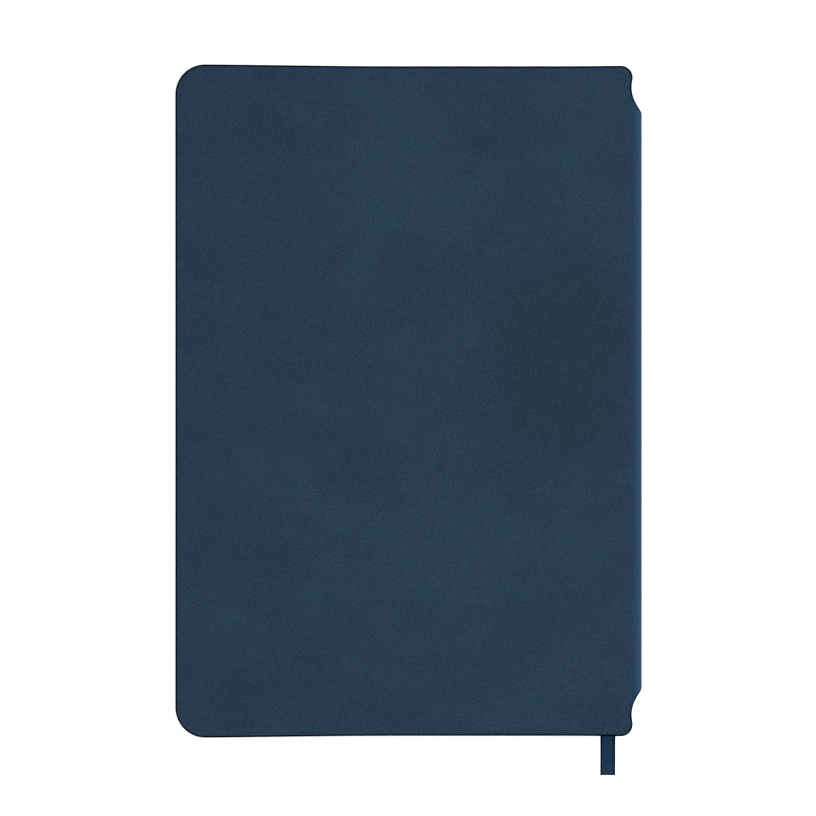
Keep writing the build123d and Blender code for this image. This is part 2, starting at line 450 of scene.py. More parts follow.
@dataclass(frozen=True)
class Paper:
    """Uncoated ivory paper, ruled as a generic flight table or left plain."""

    side: PaperSide
    ivory: Colour = (0.80, 0.76, 0.655)
    shade: Colour = (0.52, 0.475, 0.375)
    ink: Colour = (0.20, 0.27, 0.36)
    row_height: float = 6.5 * MM
    line_width: float = 0.17 * MM
    margin_x: float = 7.0 * MM
    margin_y: float = 9.0 * MM
    header_height: float = 13.0 * MM
    column_shares: tuple[float, ...] = (0.10, 0.24, 0.38, 0.52, 0.61, 0.70, 0.79, 0.88)
    ink_share: float = 0.8
    fibre_size: float = 0.5 * MM
    fibre_relief: float = 0.012 * MM
    fibre_shade: float = 0.35
    mottle_size: float = 14 * MM
    mottle_shade: float = 0.25

    def ruled(self, s: Shader, low: Flat, high: Flat) -> Value:
        """The table's lines.

        Args:
            s: the shader that they are drawn in.
            low: the leaf's lowest corner.
            high: the leaf's highest corner.

        Returns:
            1 on a line and 0 off it.
        """
        x, y, side = s.parts(s.lie())
        left, right = low[0] + self.margin_x, high[0] - self.margin_x
        bottom, top = low[1] + self.margin_y, high[1] - self.margin_y
        half = self.line_width / 2
        inside = (abs(x - (left + right) / 2) < (right - left) / 2 + half) * (
            abs(y - (bottom + top) / 2) < (top - bottom) / 2 + half
        )
        body_top = top - self.header_height
        rows = abs((y - body_top + half) % self.row_height - half) < half
        rows = rows * (y < body_top + half)
        lines = rows.most(abs(y - top) < half).most(abs(y - body_top) < half * 2)
        for share in (0.0, *self.column_shares, 1.0):
            lines = lines.most(abs(x - (left + share * (right - left))) < half)
        return lines * inside * (abs(side) > 0.5)

    def material(self, low: Flat, high: Flat) -> bpy.types.Material:
        """Builds the material for leaves of one size.

        Args:
            low: the leaves' lowest corner.
            high: their highest corner.

        Returns:
            The finished material.
        """
        s = Shader(f"ivory_paper_{self.side.value}")
        lie = s.lie()
        tone = s.number("tone")
        fibres = s.noise(s.stretched(lie, (1.0, 0.5, 1.0)), self.fibre_size, 4.0, 0.7)
        mottle = s.noise(lie, self.mottle_size, 3.0, 0.5)
        share = (fibres - 0.5) * self.fibre_shade + (mottle - 0.5) * self.mottle_shade + tone
        colour = s.mix(share.ramp(0.0, 1.0), self.ivory, self.shade)
        if self.side is PaperSide.RULED:
            colour = s.mix(self.ruled(s, low, high) * self.ink_share, colour, self.ink)
        return s.surface(
            Base_Color=colour, Roughness=0.86 + (fibres - 0.5) * 0.1,
            Normal=s.bump(fibres, self.fibre_relief), Specular_IOR_Level=0.25,
        )


@dataclass(frozen=True)
class Satin:
    """Navy woven ribbon: fine ribs across, and a tight darker selvedge along each side."""

    weft: Colour = (0.0012, 0.0208, 0.0555)
    warp: Colour = (0.0058, 0.0340, 0.0815)
    selvedge: Colour = (0.0001, 0.0004, 0.0050)
    rib: float = 0.26 * MM
    end_pitch: float = 0.7
    slub_size: float = 0.5 * MM
    relief: float = 0.05 * MM
    selvedge_width: float = 0.40 * MM
    selvedge_fade: float = 1.2
    end_width: float = 0.5 * MM
    end_share: float = 0.6

    def material(self) -> bpy.types.Material:
        """Builds the material.

        Returns:
            The finished material.
        """
        s = Shader("navy_satin_ribbon")
        lie = s.lie()
        across, along, _ = s.parts(lie)
        ribs = along.ridges(self.rib)
        ends = across.ridges(self.rib * self.end_pitch)
        slubs = s.noise(s.stretched(lie, (1.0, 0.15, 1.0)), self.slub_size, 3.0)
        colour = s.mix(ribs * 0.5 + slubs * 0.5, self.weft, self.warp)
        half = RIBBON_WIDTH / 2
        selvedge_start = half - self.selvedge_width * self.selvedge_fade
        at_side = abs(across).ramp(selvedge_start, half - self.selvedge_width)
        weave = ribs * 0.6 + ends * 0.4
        satin = s.principled(
            Base_Color=colour, Roughness=0.50 + (1 - ribs) * 0.15, Normal=s.bump(weave, self.relief),
            Specular_IOR_Level=0.16,
        )
        side = s.principled(
            Base_Color=s.mix(slubs * 0.3, self.selvedge, self.weft), Roughness=0.9 + (slubs - 0.5) * 0.1,
            Specular_IOR_Level=0.0,
        )
        at_end = 1 - s.number("edge").ramp(self.end_width * 0.6, self.end_width)
        dark = at_side.most(at_end * self.end_share)
        both = s.node("ShaderNodeMixShader", None, {0: dark, 1: satin, 2: side})
        return s.finished(both.outputs[0])


@dataclass(frozen=True)
class Woven:
    """A plain weave of threads that cross at right angles, read in the piece's own place."""

    name: str
    light: Colour
    dark: Colour
    pitch: float
    relief: float
    roughness: float = 0.85
    axes: tuple[int, int] = (1, 2)

    def material(self) -> bpy.types.Material:
        """Builds the material.

        Returns:
            The finished material.
        """
        s = Shader(self.name)
        place = s.own_place()
        first, second = (s.parts(place)[axis] for axis in self.axes)
        threads = first.ridges(self.pitch).most(second.ridges(self.pitch))
        wear = s.noise(place, self.pitch * 6, 3.0)
        colour = s.mix(threads * 0.7 + wear * 0.3, self.dark, self.light)
        return s.surface(
            Base_Color=colour, Roughness=self.roughness + (wear - 0.5) * 0.1,
            Normal=s.bump(threads, self.relief), Specular_IOR_Level=0.2,
        )


@dataclass(frozen=True)
class Card:
    """Flexible card or kraft paper: short fibres and a soft mottle."""

    name: str
    light: Colour
    dark: Colour
    roughness: float = 0.8
    fibre_size: float = 0.6 * MM
    mottle_size: float = 9 * MM
    relief: float = 0.03 * MM

    def material(self) -> bpy.types.Material:
        """Builds the material.

        Returns:
            The finished material.
        """
        s = Shader(self.name)
        place = s.own_place()
        fibres = s.noise(s.stretched(place, (1.0, 0.35, 1.0)), self.fibre_size, 5.0, 0.7)
        mottle = s.noise(place, self.mottle_size, 3.0)
        colour = s.mix((fibres * 0.6 + mottle * 0.4).ramp(0.3, 0.7), self.dark, self.light)
        return s.surface(
            Base_Color=colour, Roughness=self.roughness + (fibres - 0.5) * 0.12,
            Normal=s.bump(fibres, self.relief), Specular_IOR_Level=0.25,
        )


@dataclass(frozen=True)
class StripedCotton:
    """The head bands' corded cotton: stripes of two colours along the bead."""

    pale: Colour = (0.56, 0.53, 0.45)
    navy: Colour = (0.012, 0.030, 0.062)
    worn: Colour = (0.3, 0.3, 0.3)
    stripe: float = 1.26 * MM
    fuzz_size: float = 0.22 * MM
    relief: float = 0.06 * MM

    def material(self) -> bpy.types.Material:
        """Builds the material.

        Returns:
            The finished material.
        """
        s = Shader("striped_cotton_band")
        lie = s.lie()
        _, _, along = s.parts(lie)
        stripes = along.ridges(self.stripe).ramp(0.42, 0.58)
        fuzz = s.noise(lie, self.fuzz_size, 3.0, 0.7)
        colour = s.mix(stripes, self.navy, self.pale)
        return s.surface(
            Base_Color=s.mix(fuzz * 0.25, colour, self.worn), Roughness=0.85 + (fuzz - 0.5) * 0.1,
            Normal=s.bump(fuzz, self.relief), Specular_IOR_Level=0.2,
        )


# ---------------------------------------------------------------- mesh tools


@dataclass
class MeshDraft:
    """Vertices and faces on their way to one piece, with what each vertex remembers."""

    points: list[Point] = field(default_factory=list)
    faces: list[tuple[int, ...]] = field(default_factory=list)
    lie: list[Point] = field(default_factory=list)
    edge: list[float] = field(default_factory=list)
    tone: list[float] = field(default_factory=list)

    def add(self, point: Point, lie: Point, edge: float = 1.0, tone: float = 0.0) -> int:
        """Adds a vertex.

        Args:
            point: where it is.
            lie: where it lies on its sheet before that is wrapped or turned.
            edge: how far it is from the sheet's cut edge.
            tone: how much darker it is.

        Returns:
            Its number.
        """
        self.points.append(point)
        self.lie.append(lie)
        self.edge.append(edge)
        self.tone.append(tone)
        return len(self.points) - 1

    def strip(self, first: Sequence[int], second: Sequence[int]) -> None:
        """Joins two rows of vertices by quads.

        Args:
            first: one row.
            second: the other, which runs the same way.
        """
        for a, b, c, d in zip(first, first[1:], second[1:], second):
            self.faces.append((a, b, c, d))

    def closed_run(self, rows: Sequence[list[int]], turned: bool = False) -> None:
        """Joins closed rings into one run and caps both its ends.

        Args:
            rows: the rings, in order.
            turned: whether the sides face the other way.
        """
        for first, second in zip(rows, rows[1:]):
            ends = (first + first[:1], second + second[:1])
            self.strip(*(reversed(ends) if turned else ends))
        self.faces += [tuple(rows[-1]), tuple(reversed(rows[0]))]

    def piece(self, name: str, material: bpy.types.Material, flip: bool = False) -> bpy.types.Object:
        """Makes the piece.

        Args:
            name: the new object's name.
            material: its finish.
            flip: whether the faces are turned over, as on a mirrored piece.

        Returns:
            The new object, smooth except at sharp turns.
        """
        faces = [tuple(reversed(face)) for face in self.faces] if flip else self.faces
        mesh = bpy.data.meshes.new(name)
        mesh.from_pydata(self.points, [], faces)
        mesh.validate()
        mesh.attributes.new("lie", "FLOAT_VECTOR", "POINT").data.foreach_set(
            "vector", [number for place in self.lie for number in place]
        )
        for key, numbers in (("edge", self.edge), ("tone", self.tone)):
            mesh.attributes.new(key, "FLOAT", "POINT").data.foreach_set("value", numbers)
        mesh.materials.append(material)
        mesh.shade_smooth()
        mesh.set_sharp_from_angle(angle=math.radians(38))
        made = bpy.data.objects.new(name, mesh)
        bpy.context.scene.collection.objects.link(made)
        return made


def arc(centre: Flat, radius: float, start: float, end: float, steps: int) -> list[Flat]:
    """Points round part of a circle, both ends included, with angles in degrees."""
    turns = [math.radians(start + (end - start) * k / steps) for k in range(steps + 1)]
    return [(centre[0] + radius * math.cos(t), centre[1] + radius * math.sin(t)) for t in turns]


def line(start: Flat, end: Flat, step: float) -> list[Flat]:
    """Points along a line at about that step, without its two ends."""
    count = max(1, round(math.dist(start, end) / step))
    return [
        (start[0] + (end[0] - start[0]) * k / count, start[1] + (end[1] - start[1]) * k / count)
        for k in range(1, count)
    ]


def heading(path: Sequence[Flat], k: int) -> Vector:
    """The direction of a path at its point k, from the points on either side."""
    before, after = path[max(k - 1, 0)], path[min(k + 1, len(path) - 1)]
    return Vector((after[0] - before[0], after[1] - before[1])).normalized()


def smooth(share: float) -> float:
    """A smooth step from 0 to 1."""
    share = min(1.0, max(0.0, share))
    return share * share * (3 - 2 * share)


# -------------------------------------------------------------------- sizes


@dataclass(frozen=True)
class BookSizes:
    """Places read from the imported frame, in metres."""

    fore_x: float
    flat_end_x: float
    spine_x: float
    head_y: float
    thickness: float
    skin: float
    joint_radius: float

    @classmethod
    def from_frame(cls) -> "BookSizes":
        """Reads the sizes from the covers' and the spine's own boxes.

        Returns:
            The sizes.
        """
        back_low, back_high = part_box("back_skin")
        joint_low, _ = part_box("back_joint_skin")
        spine_low, spine_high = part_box("spine_skin")
        return cls(
            fore_x=back_low.x,
            flat_end_x=joint_low.x,
            spine_x=spine_high.x,
            head_y=back_high.y,
            thickness=back_high.z,
            skin=back_high.z - back_low.z,
            joint_radius=spine_low.z,
        )

    @property
    def middle_z(self) -> float:
        """Half the closed book's thickness."""
        return self.thickness / 2


class Side(Enum):
    """The two sides of the closed book, with the sign of their height about its middle."""

    BACK = 1
    FRONT = -1

    @property
    def word(self) -> str:
        """The side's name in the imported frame."""
        return self.name.lower()

    def bend(self, piece: bpy.types.Object, moving: str, still_end: Point, moved_end: Point) -> None:
        """Bakes a piece's place into its mesh; the piece is not bent.

        Args:
            piece: what is baked.
            moving: not used.
            still_end: not used.
            moved_end: not used.
        """
        if self is Side.BACK:
            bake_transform(piece)
        else:
            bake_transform(piece)


# -------------------------------------------------------------------- covers


@dataclass
class CoverSkin:
    """The leatherette blank, wrapped from the middle of the spine round the joint and over one cover.

    Places on the blank are (wrap, y): wrap is the distance from the middle of the spine.
    """

    sizes: BookSizes
    side: Side
    notch_drop: float = 6.7 * MM
    notch_bite: float = 0.1 * MM
    tab_radius: float = 3.76 * MM
    corner_radius: float = 9.4 * MM
    rim_radius: float = 0.26 * MM
    rim_steps: int = 4
    paint_rings: tuple[float, ...] = (0.34 * MM, 0.48 * MM, 0.90 * MM)
    flat_step: float = 3.0 * MM
    joint_step: float = 0.45 * MM
    joint_margin: float = 2.0 * MM
    edge_step: float = 2.5 * MM
    middle_step: float = 4.0 * MM
    core_spare: float = 0.3 * MM
    merge_distance: float = 1e-9
    notch_steps: int = 44
    tab_steps: int = 18
    corner_steps: int = 22
    flare: float = 0.58 * MM
    flare_start: float = 5.0 * MM
    flare_reach: float = 66 * MM
    tuck: float = 0.17 * MM
    tuck_reach: float = 20 * MM
    fore_bow: float = 0.05 * MM
    ripple: float = 0.07 * MM
    ripple_size: float = 38 * MM
    ripple_start: float = 12 * MM
    crease_turn: float = math.radians(59)

    def __post_init__(self) -> None:
        """Works out the blank's own places."""
        z = self.sizes
        self.spine_half = z.middle_z - z.joint_radius
        self.flat_wrap = self.spine_half + math.pi / 2 * z.joint_radius
        self.fore_wrap = self.flat_wrap + z.flat_end_x - z.fore_x
        self.notch_radius = self.flat_wrap + self.notch_bite
        self.notch_y = z.head_y - self.notch_drop
        self.floor_y = self.notch_y - self.notch_radius
        self.tab_y = z.head_y - self.tab_radius
        reach = self.notch_radius + self.tab_radius
        self.tab_wrap = math.sqrt(reach**2 - (self.tab_y - self.notch_y) ** 2)
        self.tab_slope = math.degrees(math.asin((self.tab_y - self.notch_y) / reach))

    def cut_edge(self) -> list[Flat]:
        """The blank's cut edge.

        Returns:
            Its points, from the notch floor at the head round to the notch floor at the tail.
        """
        z = self.sizes
        corner = (self.fore_wrap - self.corner_radius, z.head_y - self.corner_radius)
        notch = arc((0.0, self.notch_y), self.notch_radius, -90, self.tab_slope, self.notch_steps)
        tab = arc((self.tab_wrap, self.tab_y), self.tab_radius, 180 + self.tab_slope, 90, self.tab_steps)
        edge = line(tab[-1], (corner[0], z.head_y), self.edge_step)
        round_corner = arc(corner, self.corner_radius, 90, 0, self.corner_steps)
        head = notch + tab[1:] + edge + round_corner
        fore = line(head[-1], (head[-1][0], -head[-1][1]), self.edge_step)
        return head + fore + [(wrap, -y) for wrap, y in reversed(head)]

    @staticmethod
    def inset(path: Sequence[Flat], distance: float) -> list[Flat]:
        """Moves the cut edge inwards, with its two ends kept on the middle of the spine.

        Args:
            path: the cut edge's points.
            distance: how far they move.

        Returns:
            The moved points.
        """
        moved = []
        last = len(path) - 1
        for k, (wrap, y) in enumerate(path):
            along = heading(path, k)
            if k in (0, last):
                along = Vector((1.0, 0.0)) if k == 0 else Vector((-1.0, 0.0))
            moved.append((wrap + along.y * distance, y - along.x * distance))
        return moved

    def place(self, wrap: float, y: float, depth: float) -> Point:
        """Wraps a point of the blank round the closed book.

        Args:
            wrap: its distance from the middle of the spine, along the blank.
            y: its place along the spine.
            depth: how far it is below the blank's outer face.

        Returns:
            Where it ends up.
        """
        z = self.sizes
        top = z.thickness - z.joint_radius
        if wrap <= self.spine_half:
            x, height = z.spine_x - depth, z.middle_z + wrap
        elif wrap <= self.flat_wrap:
            turn = (wrap - self.spine_half) / z.joint_radius
            radius = z.joint_radius - depth
            x, height = z.flat_end_x + radius * math.cos(turn), top + radius * math.sin(turn)
        else:
            x, height = z.flat_end_x - (wrap - self.flat_wrap), z.thickness - depth
            flare = self.flare * smooth((-self.flare_start - x) / self.flare_reach)
            tuck = self.tuck * smooth((z.flat_end_x - x) / self.tuck_reach)
            y *= 1 + (flare - tuck) / z.head_y
            bow = 1 - (y / z.head_y) ** 2
            x += self.fore_bow * bow * smooth((-x) / z.head_y)
            if depth < z.skin * 0.5:
                settled = smooth((z.flat_end_x - x) / self.ripple_start)
                height += self.ripple * settled * noise.noise(Vector((x, y, 0)) / self.ripple_size)
        if self.side is Side.FRONT:
            height = z.thickness - height
        return x, y, height

    def build(self, material: bpy.types.Material) -> bpy.types.Object:
        """Builds one half of the cover's skin as a closed sheet with a rounded rim.

        Args:
            material: the leatherette.

        Returns:
            The piece.
        """
        z = self.sizes
        path = self.cut_edge()
        turns = [math.pi / 2 * k / self.rim_steps for k in range(self.rim_steps + 1)]
        rings = [(self.rim_radius * (1 - math.cos(t)), self.rim_radius * (1 - math.sin(t))) for t in turns]
        rings += [(distance, 0.0) for distance in self.paint_rings]
        flat = [[self.inset(path, distance), distance, drop] for distance, drop in rings]
        inner = flat[-1][0]
        middle = line(inner[-1], inner[0], self.middle_step)
        inside, faces = self.fill(inner, middle)

        draft = MeshDraft()
        layers = []
        for depth in (None, z.skin):
            rows = []
            for points, distance, drop in flat:
                rows.append([self.put(draft, p, drop if depth is None else depth, distance) for p in points])
            rest = [self.put(draft, p, depth or 0.0, 1.0) for p in inside]
            layers.append((rows, rest))
        for level, (rows, rest) in enumerate(layers):
            near = len(draft.faces)
            for outer_row, inner_row in zip(rows, rows[1:]):
                draft.strip(outer_row, inner_row)
            core = rows[-1] + rest
            draft.faces += [tuple(core[k] for k in face) for face in faces]
            if level == 1:
                draft.faces[near:] = [tuple(reversed(face)) for face in draft.faces[near:]]
        (top_rows, top_rest), (low_rows, low_rest) = layers
        draft.strip(low_rows[0], top_rows[0])
        count = len(middle)
        seams = [
            [row[-1] for row in rows] + rest[:count] + [row[0] for row in reversed(rows)]
            for rows, rest in ((low_rows, low_rest), (top_rows, top_rest))
        ]
        draft.strip(*seams)

        made = draft.piece(f"{self.side.word}_cover_skin", material, flip=self.side is Side.FRONT)
        nodes = [f"{self.side.word}_skin", f"{self.side.word}_joint_skin"]
        if self.side is Side.BACK:
            nodes.append("spine_skin")
        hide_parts(*nodes)
        start = self.place(self.spine_half, 0.0, 0.0)
        end = self.place(self.spine_half + self.crease_turn * z.joint_radius, 0.0, 0.0)
        self.side.bend(made, f"{self.side.word}_cover", start, end)
        return made

    def put(self, draft: MeshDraft, point: Flat, depth: float, distance: float) -> int:
        """Adds one point of the blank to a draft.

        Args:
            draft: where it goes.
            point: its place on the blank.
            depth: how far it is below the outer face.
            distance: how far it is from the cut edge.

        Returns:
            Its number.
        """
        wrap, y = point
        lie = (wrap * self.side.value, y, depth)
        return draft.add(self.place(wrap, y, depth), lie, edge=distance)

    def fill(
        self, ring: Sequence[Flat], middle: Sequence[Flat]
    ) -> tuple[list[Flat], list[tuple[int, ...]]]:
        """Fills the blank inside its innermost ring with a fine triangle mesh.

        Args:
            ring: the innermost ring.
            middle: the points that close it along the middle of the spine.

        Returns:
            The points inside, the middle ones first, and the triangles, numbered with the ring's first.
        """
        border = list(ring) + list(middle)
        stations = []
        wrap = self.joint_step
        while wrap < self.fore_wrap:
            stations.append(wrap)
            wrap += self.joint_step if wrap < self.flat_wrap + self.joint_margin else self.flat_step
        half_count = int(self.sizes.head_y / self.flat_step)
        heights = [k * self.flat_step for k in range(-half_count, half_count + 1)]
        loose = [(w, y) for w in stations for y in heights if self.is_inside(w, y)]
        points = [Vector(p) for p in border + loose]
        outline = list(range(len(border)))
        made = delaunay_2d_cdt(points, [], [outline], 1, self.merge_distance)
        source = [ids[0] for ids in made[3]]
        triangles = []
        for face in made[2]:
            numbers = [source[k] for k in face]
            a, b, c = (points[k] for k in numbers)
            if (b - a).cross(c - a) > 0:
                numbers.reverse()
            triangles.append(tuple(numbers))
        return list(middle) + loose, triangles

    def is_inside(self, wrap: float, y: float) -> bool:
        """Whether a place is well inside the blank's innermost ring.

        Args:
            wrap: its distance from the middle of the spine, along the blank.
            y: its place along the spine.

        Returns:
            True if it is.
        """
        z = self.sizes
        gap = self.paint_rings[-1] + self.core_spare
        y = abs(y)
        if y > z.head_y - gap or wrap > self.fore_wrap - gap:
            return False
        if math.hypot(wrap, y - self.notch_y) < self.notch_radius + gap:
            return False
        if wrap < self.tab_wrap and y > self.floor_y and wrap < self.notch_radius + gap:
            return y < self.notch_y
        if wrap < self.tab_wrap and y > self.tab_y:
            return math.hypot(wrap - self.tab_wrap, y - self.tab_y) < self.tab_radius - gap
        corner = (self.fore_wrap - self.corner_radius, z.head_y - self.corner_radius)
        if wrap > corner[0] and y > corner[1]:
            return math.hypot(wrap - corner[0], y - corner[1]) < self.corner_radius - gap
        return True


@dataclass
class CoverBoard:
    """The card laminated under one cover's skin, cut with it."""

    skin: CoverSkin
    inset: float = 0.05 * MM

    def build(self, material: bpy.types.Material) -> bpy.types.Object:
        """Builds the card as one flat sheet with the cover's own outline.

        Args:
            material: the card.

        Returns:
            The piece, which rides its cover.
        """
        skin, side = self.skin, self.skin.side
        node = f"{side.word}_board"
        low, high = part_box(node)
        path = CoverSkin.inset(skin.cut_edge(), self.inset)
        outline = [p for p in path if p[0] >= skin.flat_wrap]
        draft = MeshDraft()
        levels = []
        for height in (low.z, high.z):
            row = []
            for wrap, y in outline:
                x, flared_y, _ = skin.place(wrap, y, skin.sizes.skin)
                row.append(draft.add((x, flared_y, height), (wrap, y, height)))
            levels.append(row)
        bottom, top = levels
        draft.faces += [tuple(bottom), tuple(reversed(top))]
        draft.strip(top + top[:1], bottom + bottom[:1])
        made = draft.piece(f"{side.word}_cover_board", material)
        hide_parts(node)
        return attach(made, f"{side.word}_cover")


# -------------------------------------------------------------------- leaves


@dataclass
class LeafShape:
    """The outline that every leaf is trimmed to."""

    fore_x: float
    fold_x: float
    head_y: float
    corner_radius: float = 6.4 * MM
    corner_steps: int = 9
    flat_steps: int = 8
    end_spare: float = 1e-6

    def half_height(self, x: float) -> float:
        """Half a leaf's height, which falls away at the rounded corners.

        Args:
            x: the place along the leaf.

        Returns:
            Half its height there.
        """
        into = self.fore_x + self.corner_radius - x
        if into <= 0:
            return self.head_y
        return self.head_y - self.corner_radius + math.sqrt(max(0.0, self.corner_radius**2 - into**2))

    def stations(self, end_x: float, bend_step: float = 0.0, bend_reach: float = 0.0) -> list[float]:
        """Places along a leaf, closer together round its corners and at a bend.

        Args:
            end_x: where the last one is.
            bend_step: how far apart they are at the bend, or 0 for no bend.
            bend_reach: how long the bend is.

        Returns:
            The places, from the fore edge.
        """
        turns = [math.pi / 2 * k / self.corner_steps for k in range(self.corner_steps + 1)]
        places = [self.fore_x + self.corner_radius * (1 - math.cos(t)) for t in turns]
        flat = end_x - bend_reach - places[-1]
        places += [places[-1] + flat * k / self.flat_steps for k in range(1, self.flat_steps + 1)]
        if bend_step:
            count = round(bend_reach / bend_step)
            places += [end_x - bend_reach + bend_reach * k / count for k in range(1, count + 1)]
        return places

    def sheet(
        self, draft: MeshDraft, profile: Sequence[Flat], thickness: float, tone: float, shift: float,
    ) -> None:
        """Adds one sheet to a draft.

        Args:
            draft: where it goes.
            profile: its middle line as (x, z), from one fore edge to the other or to its end.
            thickness: the paper's thickness.
            tone: how much darker this sheet is.
            shift: how far it lies out of true towards the head.
        """
        rows = {-1: [], 1: []}
        for k, (x, z) in enumerate(profile):
            along = heading(profile, k)
            half = self.half_height(min(max(x, self.fore_x + self.end_spare), self.fold_x))
            for face in (-1, 1):
                px = x - along.y * face * thickness / 2
                pz = z + along.x * face * thickness / 2
                rows[face].append([
                    draft.add((px, end * half + shift, pz), (x, end * half, float(face)), tone=tone)
                    for end in (-1, 1)
                ])
        for face, row in rows.items():
            tails, heads = [r[0] for r in row], [r[1] for r in row]
            draft.strip(*((tails, heads) if face == -1 else (heads, tails)))
        upper, lower = rows[1], rows[-1]
        draft.strip([r[0] for r in upper], [r[0] for r in lower])
        draft.strip([r[1] for r in lower], [r[1] for r in upper])
        draft.faces.append((upper[0][0], upper[0][1], lower[0][1], lower[0][0]))
        draft.faces.append((upper[-1][1], upper[-1][0], lower[-1][0], lower[-1][1]))


@dataclass
class Signatures:
    """The sewn sections, each a nest of folded sheets."""

    shape: LeafShape
    dice: random.Random
    leaf: float
    ribbon_low: Vector
    ribbon_high: Vector
    gap_share: float = 0.84
    stray: float = 0.08 * MM
    darkest: float = 0.62
    press_reach: float = 1.2 * MM
    fold_steps: int = 8

    def pressed(self, x: float, z: float, low_z: float, high_z: float) -> float:
        """Lowers a leaf of the marked section where the ribbon presses on it.

        Args:
            x: the place along the leaf.
            z: the leaf's own height.
            low_z: the section's lower face.
            high_z: its upper face.

        Returns:
            The leaf's height there.
        """
        near = min(x - self.ribbon_low.x, self.ribbon_high.x - x)
        press = smooth((near + self.press_reach) / self.press_reach) * (RIBBON_THICKNESS + RIBBON_CLEARANCE)
        return low_z + (z - low_z) * (1 - press / (high_z - low_z))

    def build(self, number: int, count: int, material: bpy.types.Material) -> bpy.types.Object:
        """Builds one section.

        Args:
            number: which section, from 1 at the front.
            count: how many there are.
            material: the ruled paper.

        Returns:
            The section's sheets as one piece.
        """
        node = f"signature_{number:02d}"
        low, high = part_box(node)
        leaves = round((high.z - low.z) / self.leaf)
        pairs = 1 if number in (1, count) else leaves // 2
        marked = number == count // 2
        draft = MeshDraft()
        spread = pairs * 2 * self.leaf
        pair_low = high.z - spread if number == count else low.z
        centre_z = pair_low + spread / 2
        for k in range(pairs):
            radius = spread / 2 - (k + 0.5) * self.leaf
            stray = self.dice.uniform(-1, 1) * self.stray
            flat = [x + stray for x in self.shape.stations(self.shape.fold_x - spread / 2 - self.leaf)]
            fold = arc((self.shape.fold_x - spread / 2, centre_z), radius, -90, 90, self.fold_steps)
            under = [(x, centre_z - radius) for x in flat]
            profile = under + fold + [(x, centre_z + radius) for x in reversed(flat)]
            if marked:
                profile = [(x, self.pressed(x, z, low.z, high.z)) for x, z in profile]
            self.add(draft, profile)
        for k in range(leaves - 2 * pairs):
            z = (low.z + (k + 0.5) * self.leaf) if number == count else (high.z - (k + 0.5) * self.leaf)
            stray = self.dice.uniform(-1, 1) * self.stray
            self.add(draft, [(x + stray, z) for x in self.shape.stations(self.shape.fold_x - self.leaf)])
        made = draft.piece(f"{node}_leaves", material)
        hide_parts(node)
        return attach(made, "book_block")

    def add(self, draft: MeshDraft, profile: Sequence[Flat]) -> None:
        """Adds one sheet with its own slight shift and tone.

        Args:
            draft: where it goes.
            profile: its middle line.
        """
        tone = self.dice.uniform(0.0, self.darkest)
        shift = self.dice.uniform(-1, 1) * self.stray
        self.shape.sheet(draft, profile, self.leaf * self.gap_share, tone, shift)


@dataclass
class LooseLeaf:
    """A flyleaf or an outer leaf, drawn flat with its points closer together beside its fold."""

    shape: LeafShape
    side: Side
    word: str
    flat_reach: float = 5.0 * MM
    fanned_reach: float = 4.0 * MM
    bend_step: float = 0.25 * MM
    paper_share: float = 0.92
    tones: Flat = (0.05, 0.3)

    def build(self, dice: random.Random, material: bpy.types.Material, slot: str) -> bpy.types.Object:
        """Builds the leaf as one flat sheet.

        Args:
            dice: the source of its tone.
            material: its paper.
            slot: not used.

        Returns:
            The leaf.
        """
        node = f"{self.side.word}_{self.word}"
        low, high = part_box(node)
        z = (low.z + high.z) / 2
        draft = MeshDraft()
        reach = self.flat_reach if self.side is Side.FRONT else self.fanned_reach
        places = self.shape.stations(self.shape.fold_x, self.bend_step, reach)
        profile = [(x, z) for x in places]
        self.shape.sheet(draft, profile, (high.z - low.z) * self.paper_share, dice.uniform(*self.tones), 0.0)
        made = draft.piece(f"{node}_paper", material)
        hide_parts(node)
        start = (self.shape.fold_x, 0.0, z)
        end = (self.shape.fold_x - reach, 0.0, z)
        self.side.bend(made, f"{node}_sheet", start, end)
        return made


